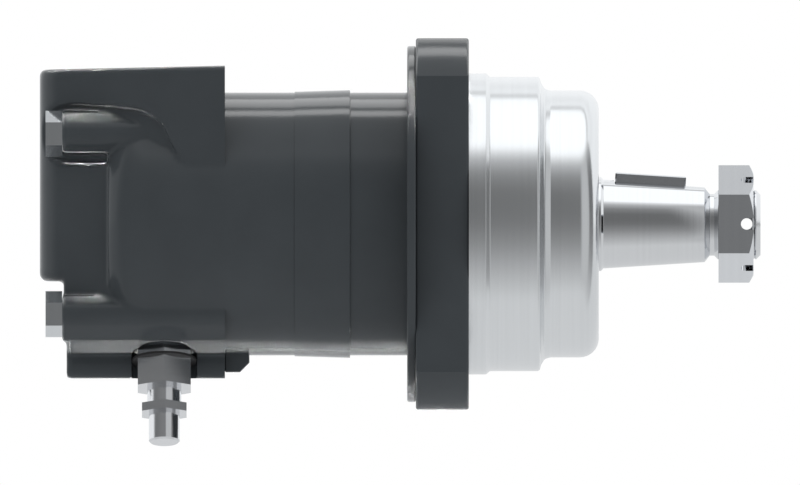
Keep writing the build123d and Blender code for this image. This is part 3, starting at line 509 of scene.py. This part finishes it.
def make_lug():
    """Lug under the valve plate: an outline in (x, z) carried across it, and drawn in a little at both ends."""
    half_width, edge, shrink = 9.0, 0.6, 0.12
    lug_root, lug_foot = -44.0, -53.2
    outline = rounded([
        (x_plate, lug_root, 0), (x_plate, lug_foot, edge), (-82.1, lug_foot, edge), (ring_back, -49.8, edge),
        (ring_back, lug_root, 0),
    ], 4)
    middle = outline.mean(0)
    rows = []
    for y, inset in ((-half_width, edge), (edge - half_width, 0), (half_width - edge, 0), (half_width, edge)):
        drawn_in = middle + (outline - middle) * (1 - shrink * inset)
        rows.append(np.column_stack([drawn_in[:, 0], np.full(len(outline), y), drawn_in[:, 1]]))
    ends = [np.broadcast_to([middle[0], y, middle[1]], rows[0].shape) for y in (-half_width, half_width)]
    return surface("lug", np.stack([ends[0], *rows, ends[1]]), around=False)


plates = {
    "wear_plate": (ring_front, barrel_back, 15.0),
    "geroler_ring": (ring_back, ring_front, 31.6),
    "valve_plate": (x_plate, ring_back, 14.5),
}
for name, (start, end, plate_bore) in plates.items():
    plate = turned(f"{name}_body", np.array([(start, plate_bore), (end, plate_bore), (end, body_r), (start, body_r)]))
    if name == "valve_plate":
        plate = joined("valve_plate_body", [plate, make_lug()])
        plate.data.shade_smooth()
        plate.data.set_sharp_from_angle(angle=radians(32))
    dress(plate, cast_paint)
    painted_pieces.objects.link(plate)
    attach(plate, "housing")
    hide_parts(name)

# Rear casting: port block, domed valve chamber, four screw bosses and drain pad, poured as one piece
# with soft inner corners. Its joint face, ports and bores are machined after casting.
# The forms run on to x_past, and the joint face is machined back to x_plate.
x_rear, x_seat, x_past = -153.9, -145.9, x_plate + 3
block_half_width, block_foot, shelf_z = 42.2, -20.6, 21.3
screw_y, screw_z, screw_hole_r, trough_r, trough_depth = 24.5, 32.35, 5.15, 10.8, 3.0
trough_front, trough_end = -115, -100.7
port_x, port_y, port_z = -109.5, 20, 55.9
drain_x, pad_foot = -125, -55.4
sensor_place, sensor_lean = (-109.25, 0, 0), radians(16)
sensor_line = (0, -sin(sensor_lean), -cos(sensor_lean))


def block_side(samples=26):
    """Half outline of the port block from above: x and half width from the rear middle to the front corner.

    A rear corner, a slant and a bend follow each other, each tangent to the next, and they run out at full width.
    """
    tilt = radians(29)
    bend_run = 18.3
    bend_r = bend_run / sin(tilt)
    bend_x = x_plate - 11.8
    end_x, end_y = bend_x - bend_run, block_half_width - bend_r * (1 - cos(tilt))
    corner_y = end_y - (end_x - x_seat) * tan(tilt)
    corner_r = (x_seat - x_rear) / (1 - sin(tilt))
    centre = (x_seat + corner_r * sin(tilt), corner_y - corner_r * cos(tilt))
    rear = np.linspace(pi, pi / 2 + tilt, samples)
    bend = np.linspace(pi / 2 + tilt, pi / 2, samples)
    slant = np.linspace(0, 1, samples * 2)[1:-1, None]
    parts = [
        np.stack([np.full(6, x_rear), np.linspace(0, centre[1], 6, endpoint=False)], -1),
        np.stack([centre[0] + corner_r * np.cos(rear), centre[1] + corner_r * np.sin(rear)], -1),
        (1 - slant) * np.array([[x_seat, corner_y]]) + slant * np.array([[end_x, end_y]]),
        np.stack([bend_x + bend_r * np.cos(bend), block_half_width - bend_r + bend_r * np.sin(bend)], -1),
        np.stack([np.linspace(bend_x, x_past, 24)[1:], np.full(23, block_half_width)], -1),
        np.stack([np.full(6, x_past), np.linspace(block_half_width, 0, 7)[1:]], -1),
    ]
    return np.concatenate(parts)


def port_block():
    """Block of the ports: its outline carried up, pushed in beside the upper screws to leave a trough each side.

    Each band of rows has its height, its half width and how far a rounded edge draws it in.
    """
    side = block_side()
    x, y = side[:, :1], side[:, 1:]
    slope = np.gradient(side, axis=0)
    outward = np.stack([-slope[:, 1], slope[:, 0]], -1)
    outward /= np.maximum(np.linalg.norm(outward, axis=1, keepdims=True), 1e-9)
    outward[:6] = (-1, 0)
    outward[-7:] = (1, 0)
    top = 56.8 + (x - x_plate) * 1.4 / 66.4
    rim_x = np.array([-160, -145.9, -128.7, -117.6, -113.3, -109.4, -107.9, -105.6, -103.3, trough_end])
    rim_z = np.array([43.15, 43.15, 42.3, 41.0, 38.6, 35.5, 31.6, 26.6, 23.2, shelf_z])
    rim = np.interp(x, rim_x, rim_z)
    top_bend, foot_bend = 2.2, 2.8
    bend = np.linspace(0, pi / 2, 6)
    inner = shelf_z + np.linspace(0, 1, 22) * (rim - shelf_z)
    high = rim + np.linspace(0, 1, 16) * (top - top_bend - rim)
    round_boss = np.sqrt(np.maximum(trough_r**2 - (inner - screw_z) ** 2, 0))
    reach = screw_y - np.where(x < trough_front, round_boss, 0)
    trough = np.where(x > trough_end, y, np.maximum(np.minimum(y, reach), y - trough_depth))
    bands = [
        (block_foot + foot_bend * (1 - np.sin(bend[::-1])), y, foot_bend * (1 - np.cos(bend[::-1]))),
        (np.linspace(-17.0, shelf_z, 12), y, 0.0),
        (inner, trough, 0.0),
        (high, y, 0.0),
        (top - top_bend + top_bend * np.sin(bend), y, top_bend * (1 - np.cos(bend))),
    ]
    z, y, inset, x = (
        np.concatenate(rows, 1) for rows in zip(*[np.broadcast_arrays(*band, x) for band in bands])
    )
    x = x - outward[:, :1] * inset
    y = np.maximum(y - outward[:, 1:] * inset, 0)
    near = np.stack([x, -y, z], -1)
    far = near[::-1] * np.array([1, -1, 1])
    shell = np.concatenate([near, far[1:-1]])
    middle = np.array([1, 0, 1])
    return surface("block", np.concatenate([shell[:, :1] * middle, shell, shell[:, -1:] * middle], 1), along=False)


def bar(name, outline, start, end, rounding=0.0, flip=False):
    """Prism along X over a closed outline in (y, z), with its rear edge rounded and its ends closed."""
    slope = np.roll(outline, -1, 0) - np.roll(outline, 1, 0)
    inward = np.stack([-slope[:, 1], slope[:, 0]], -1)
    inward /= np.maximum(np.linalg.norm(inward, axis=1, keepdims=True), 1e-9)
    middle = outline.mean(0)
    if ((middle - outline) * inward).sum() < 0:
        inward = -inward
    bend = np.linspace(0, pi / 2, 5)[::-1]
    xs = [*(start + rounding * (1 - np.sin(bend))), end]
    insets = [*(rounding * (1 - np.cos(bend))), 0.0]
    rows = [np.column_stack([np.full(len(outline), x), outline + inward * i]) for x, i in zip(xs, insets)]
    caps = [np.broadcast_to([x, *middle], rows[0].shape) for x in (xs[0], xs[-1])]
    grid = np.stack([caps[0], *rows, caps[1]])
    if flip:
        grid = grid * np.array([1, -1, 1])
    return surface(name, grid, around=False)


def valve_dome():
    """Round chamber behind the plates: full width, then an arc in section down to a flat rear."""
    arc_x, arc_z, arc_r = -115.1, 31.13, 16
    sweep = np.linspace(pi / 2, pi - np.arccos(14.3 / arc_r), 16)
    dome = np.column_stack([arc_x + arc_r * np.cos(sweep), arc_z + arc_r * np.sin(sweep)])
    edge_x, edge_z = dome[-1]
    outline = np.concatenate([[(x_past, 0.0), (x_past, body_r)], dome, [(edge_x, edge_z - 1.0), (edge_x, 0.0)]])
    return turned("dome", outline, 160)


def screw_bosses(flip):
    """Bosses round the two screws of one side, reaching in to the block: the upper ones are rounder and shorter."""
    outer_y, inner_y, lean = -39.44, -10.0, 1.327
    upper = (screw_z, 6.7, 8.15, -104.0, 9.0)
    lower = (-screw_z, 9.65, 6.7, x_past, 4.0)
    bosses = []
    for z, low, high, end, crown in (upper, lower):
        outline = rounded([
            (outer_y, z, 5.2), (outer_y + lean * high, z + high, crown), (inner_y, z + high, 0),
            (inner_y, z - low, 0), (outer_y + lean * low, z - low, 0.3),
        ], 10)
        bosses.append(bar("boss", outline, x_seat, end, 0.5, flip))
    return bosses


def drain_pad(flip):
    """One side of the pad under the block, which carries the lower screws and ends in a foot round the drain."""
    outline = rounded([
        (0.0, -15.6, 0), (-19.0, -15.6, 0), (-19.0, -32.35, 0), (-26.6, -42.0, 1.0), (-13.6, -46.9, 1.2),
        (-14.8, -49.4, 1.0), (-15.4, -51.2, 1.5), (-15.2, pad_foot, 2.4), (0.0, pad_foot, 0),
    ], 6)
    return bar("pad", outline, -144.3, x_past, 1.6, flip)


def block_neck():
    """The block's slanting rear carried down between the lower bosses."""
    foot, middle, head = -33.0, -26.0, -18.0
    flank = block_side()
    flank = flank[(flank[:, 0] > x_seat + 0.05) & (flank[:, 0] < -124.0) & (flank[:, 1] > 1.0)]
    outline = np.concatenate([flank * (1, -1), flank[::-1]])
    rows = [np.column_stack([outline, np.full(len(outline), z)]) for z in (foot, middle, head)]
    ends = [np.broadcast_to([-134.0, 0.0, z], rows[0].shape) for z in (foot, head)]
    return surface("neck", np.stack([ends[0], *rows, ends[1]]), around=False)


def poured(name, forms):
    """Run closed forms together, soften them as cast corners are, and machine the joint face flat."""
    casting = joined(name, forms)
    remesh = casting.modifiers.new("pour", "REMESH")
    remesh.mode = "VOXEL"
    remesh.voxel_size = 0.00075
    smooth = casting.modifiers.new("soften", "SMOOTH")
    smooth.factor = 0.5
    smooth.iterations = 4
    view = bpy.context.evaluated_depsgraph_get()
    mesh = bpy.data.meshes.new_from_object(casting.evaluated_get(view))
    casting.modifiers.clear()
    work = bmesh.new()
    work.from_mesh(mesh)
    cut = bmesh.ops.bisect_plane(
        work, geom=work.verts[:] + work.edges[:] + work.faces[:], plane_co=(x_plate * 0.001, 0, 0),
        plane_no=(1, 0, 0), clear_outer=True,
    )
    rim = [e for e in cut["geom_cut"] if isinstance(e, bmesh.types.BMEdge)]
    bmesh.ops.triangle_fill(work, edges=rim, use_beauty=True)
    bmesh.ops.recalc_face_normals(work, faces=work.faces)
    work.to_mesh(mesh)
    work.free()
    casting.data = mesh
    return casting


def bored(casting):
    """Machine the rear casting: valve bores, seal groove, work ports, screw holes, drain, sensor seat, passages."""
    up, down = (0, 0, 1), (0, 0, -1)
    cutters = [
        turned("bores", np.array([
            (x_plate + 2, 0.0), (x_plate + 2, 31.5), (x_plate - 27, 31.5), (x_plate - 27, 27.0),
            (x_plate - 35, 27.0), (x_plate - 35, 19.0), (x_plate - 38.5, 19.0), (x_plate - 38.5, 0.0),
        ])),
        turned("groove", np.array([
            (x_plate + 1, 33.0), (x_plate + 1, 34.6), (x_plate - 1.4, 34.6), (x_plate - 1.4, 33.0),
        ])),
    ]
    port_face = [(3, 0), (3, 16.5), (0, 16.5), (0, 11.3), (-1.1, 10.3)]
    port_thread = (-1.2, -14.5, 10.45, 9.45, 1.814)
    port_end = [(-14.8, 9.4), (-16, 9.4), (-16, 0)]
    for side in (-1, 1):
        port = threaded("port", port_face, port_thread, port_end)
        cutters.append(placed(port, (port_x, side * port_y, port_z), up))
        for height in (-screw_z, screw_z):
            cutters.append(plain_bar(x_seat - 8, x_plate + 2, screw_hole_r, (0, side * screw_y, height)))
    drain_face = [(3, 0), (3, 7.3), (0, 7.3), (-0.8, 6.7)]
    drain_thread = (-0.9, -12, 6.8, 6.1, 1.34)
    drain_end = [(-12.3, 6.0), (-13.5, 6.0), (-13.5, 0)]
    drain = threaded("drain", drain_face, drain_thread, drain_end)
    cutters.append(placed(drain, (drain_x, 0, pad_foot), down))
    cut_away(casting, cutters)
    seat_depth, clear_depth = 46.6, 60
    seat = turned("spot", np.array([
        (clear_depth, 0.0), (clear_depth, 11.8), (seat_depth, 11.8), (seat_depth, 6.2), (28.0, 6.2), (28.0, 0.0),
    ]))
    passages = [plain_bar(20, 42, 4.4, (port_x, side * port_y, 0), up) for side in (-1, 1)]
    cut_away(casting, [placed(seat, sensor_place, sensor_line), *passages])
    relief_place = (sensor_place[0], -5 * cos(sensor_lean), 5 * sin(sensor_lean))
    return cut_away(casting, [plain_bar(seat_depth, clear_depth, 9.4, relief_place, sensor_line)])


forms = [port_block(), valve_dome()]
for flip in (False, True):
    forms += [*screw_bosses(flip), drain_pad(flip)]
forms.append(block_neck())
casting = bored(poured("valve_housing_casting", forms))
casting.data.shade_smooth()
casting.data.set_sharp_from_angle(angle=radians(50))
dress(casting, cast_paint)
painted_pieces.objects.link(casting)
rear_casting.objects.link(casting)
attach(casting, "housing")
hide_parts("valve_housing")

# Four long hexagon screws hold the stack together from the rear.
# They are of plain steel with a satin finish.
screw_steel = machined("screw_steel", (0.68, 0.70, 0.72), roughness=0.08, ring_scale=300, relief=0.01)
for number in range(1, 5):
    dress(nodes[f"case_bolt_{number}"], screw_steel)

# Output shaft of ground steel: rear hub with internal spline, collars, seal journal, taper with an open
# keyway, undercut, and a threaded end with a cross hole for the cotter pin. The taper is polished.
taper_start, taper_r, thread_r = 48.95, 15.93, 12.7
taper_slope = atan(1 / 16)
key_start, key_width, key_stand = 52.2, 7.94, 2.8
spline_back, spline_front, spline_r = -38.0, -24.0, 10.4


def box(name, corners):
    """Box over eight corners in millimetres, counted with the third direction fastest and the first one slowest."""
    mesh = bpy.data.meshes.new(name)
    sides = [(0, 1, 3, 2), (4, 6, 7, 5), (0, 4, 5, 1), (2, 3, 7, 6), (0, 2, 6, 4), (1, 5, 7, 3)]
    mesh.from_pydata([tuple(corner * 0.001) for corner in corners], [], sides)
    return finished(name, mesh)


def make_shaft():
    """Turned with its thread in one surface, then keyway, cross hole and spline slots are cut."""
    outside = rounded([
        (-61.0, 13.6, 0), (-61.0, 19.05, 0.6), (-40.0, 19.05, 0), (-40.0, 24.0, 0.4), (-34.0, 24.0, 0.4),
        (-32.0, 20.0, 1.0), (8.0, 20.0, 1.0), (10.5, 22.5, 0.4), (16.0, 22.5, 0.4), (16.0, 17.46, 0),
        (34.4, 17.46, 0.2), (35.0, 16.9, 0.2), (47.4, 16.9, 0.2), (48.3, taper_r, 0.2), (taper_start, taper_r, 0),
        (84.56, 13.704, 0.3), (86.4, 11.4, 0.3), (88.0, 11.4, 0.3), (89.3, thread_r, 0),
    ], 4)
    inside = [
        (103.1, thread_r), (104.6, 11.2), (104.6, 0.0), (-17.5, 0.0), (-21.0, spline_r), (-21.0, 12.5),
        (spline_front, 12.5), (spline_front, spline_r), (spline_back, spline_r), (spline_back, 13.6), (-61.0, 13.6),
    ]
    shaft = threaded("output_shaft_body", outside, (89.4, 103.0, thread_r, 11.95, 1.27), inside, 192)
    key_top = taper_r - (key_start - taper_start) / 16 + key_stand
    along = Vector((cos(taper_slope), 0, -sin(taper_slope)))
    out = Vector((sin(taper_slope), 0, cos(taper_slope)))
    seat = Vector((key_start, 0, key_top)) - out * key_width
    keyway = box("keyway", [
        seat + along * u + Vector((0, v, 0)) + out * w
        for u in (0, 60) for v in (-key_width / 2, key_width / 2) for w in (0, key_width + 4)
    ])
    cut_away(shaft, [keyway])
    cut_away(shaft, [plain_bar(-20, 20, 2.05, (99.65, 0, 0), (0, 1, 0))])
    slots = []
    for number in range(12):
        turn = Matrix.Rotation(radians(30 * number), 4, "X")
        slots.append(box("slot", [
            turn @ Vector((x, y, z)) for x in (-40, spline_front) for y in (-1.52, 1.52) for z in (8.0, 12.2)
        ]))
    return cut_away(shaft, slots)


shaft = make_shaft()
shaft_steel = machined("shaft_steel", (0.72, 0.73, 0.745), roughness=0.06, relief=0.005)
dress(shaft, shaft_steel)
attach(shaft, "shaft")
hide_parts("output_shaft")

# Square key in the taper's keyway, and the hexagon nut with slots on the shaft's thread.
# The key is of darker steel, and the nut is zinc plated.
key_steel = machined("key_steel", (0.55, 0.56, 0.58), roughness=0.16, ring_scale=200)
dress(nodes["shaft_key"], key_steel)
nut_steel = machined("nut_steel", (0.74, 0.755, 0.78), roughness=0.07, ring_scale=300, relief=0.01)
dress(nodes["slotted_nut"], nut_steel)

# Speed sensor under the rear casting, in plated steel with a flush cap in its open end.
# Its washer is black rubber, and so are the motor's other seals.
plated = machined("plated_steel", (0.74, 0.75, 0.77), roughness=0.14, ring_scale=300, axis="Z")
for name in ("sensor_bushing", "sensor_gland_nut", "speed_sensor"):
    dress(nodes[name], plated)
sensor_end = plain_bar(74.5, 81.5, 4.2, sensor_place, sensor_line)
sensor_end.name = "sensor_end_cap"
dress(sensor_end, plated)
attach(sensor_end, "housing")
rubber = painted("black_rubber", (0.012, 0.012, 0.013), roughness=0.6)
housing_seals = [f"housing_seal_{number}" for number in range(1, 5)]
for name in ("sensor_seal_washer", "shaft_seal", "dust_seal", *housing_seals, "balance_ring_seal"):
    dress(nodes[name], rubber)

# Inner pieces, out of sight: gear set and bearings of ground steel, cages and rings of pressed steel,
# and the valve's parts of lapped iron.
ground = machined("ground_steel", (0.62, 0.62, 0.63), roughness=0.18)
pressed = machined("pressed_steel", (0.50, 0.50, 0.51), roughness=0.3)
lapped = machined("valve_iron", (0.33, 0.33, 0.34), roughness=0.3)
bearings = [f"{end}_bearing_{part}" for part in ("cup", "cone", "rollers") for end in ("front", "rear")]
rollers = [f"geroler_roller_{number}" for number in range(1, 8)]
for finish, names in (
    (ground, ["rotor_star", "drive_spacer", "bearing_spacer", *bearings, *rollers]),
    (pressed, ["front_bearing_cage", "rear_bearing_cage", "backup_washer", "seal_retaining_ring", "balance_spring"]),
    (lapped, ["disc_valve", "balance_ring"]),
    (shaft_steel, ["drive_link", "valve_drive"]),
):
    for name in names:
        dress(nodes[name], finish)
